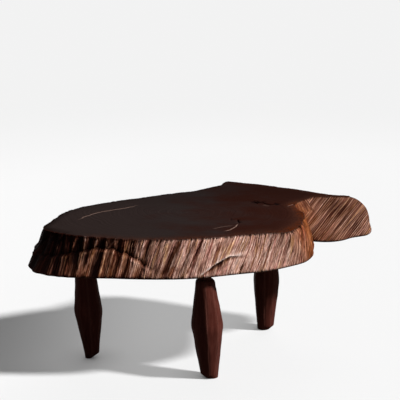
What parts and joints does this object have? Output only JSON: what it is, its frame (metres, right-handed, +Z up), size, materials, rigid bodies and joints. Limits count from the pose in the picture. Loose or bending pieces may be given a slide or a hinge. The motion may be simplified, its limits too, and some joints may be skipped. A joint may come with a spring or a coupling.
{
  "type": "live-edge slab coffee table",
  "caption": "Low table: a thick free-form live-edge wood slab, fluted round its edge and notched beside a blunt wing, on carved octagonal legs that swell in the middle.",
  "frame": {"origin": "middle of the table's bounding box, on the floor", "axes": "+X along the length, towards the wing; +Y towards the back, with the front leg on the -Y side; +Z up"},
  "size_m": [1.0046, 0.69, 0.42],
  "materials": {
    "slab_wood": "dark stained and waxed, satin top; the fluted live edge is left rough and rubbed paler on its ridges",
    "leg_wood": "dark reddish brown, hand-carved facets, satin wax",
    "wedge_wood": "bare sawn hardwood"
  },
  "bodies": {
    "root": {"slab_top": "slab_wood", "leg_left": "leg_wood", "leg_front": "leg_wood", "leg_right": "leg_wood", "wedge_left": "wedge_wood", "wedge_front": "wedge_wood", "wedge_right": "wedge_wood"}
  },
  "joints": []
}
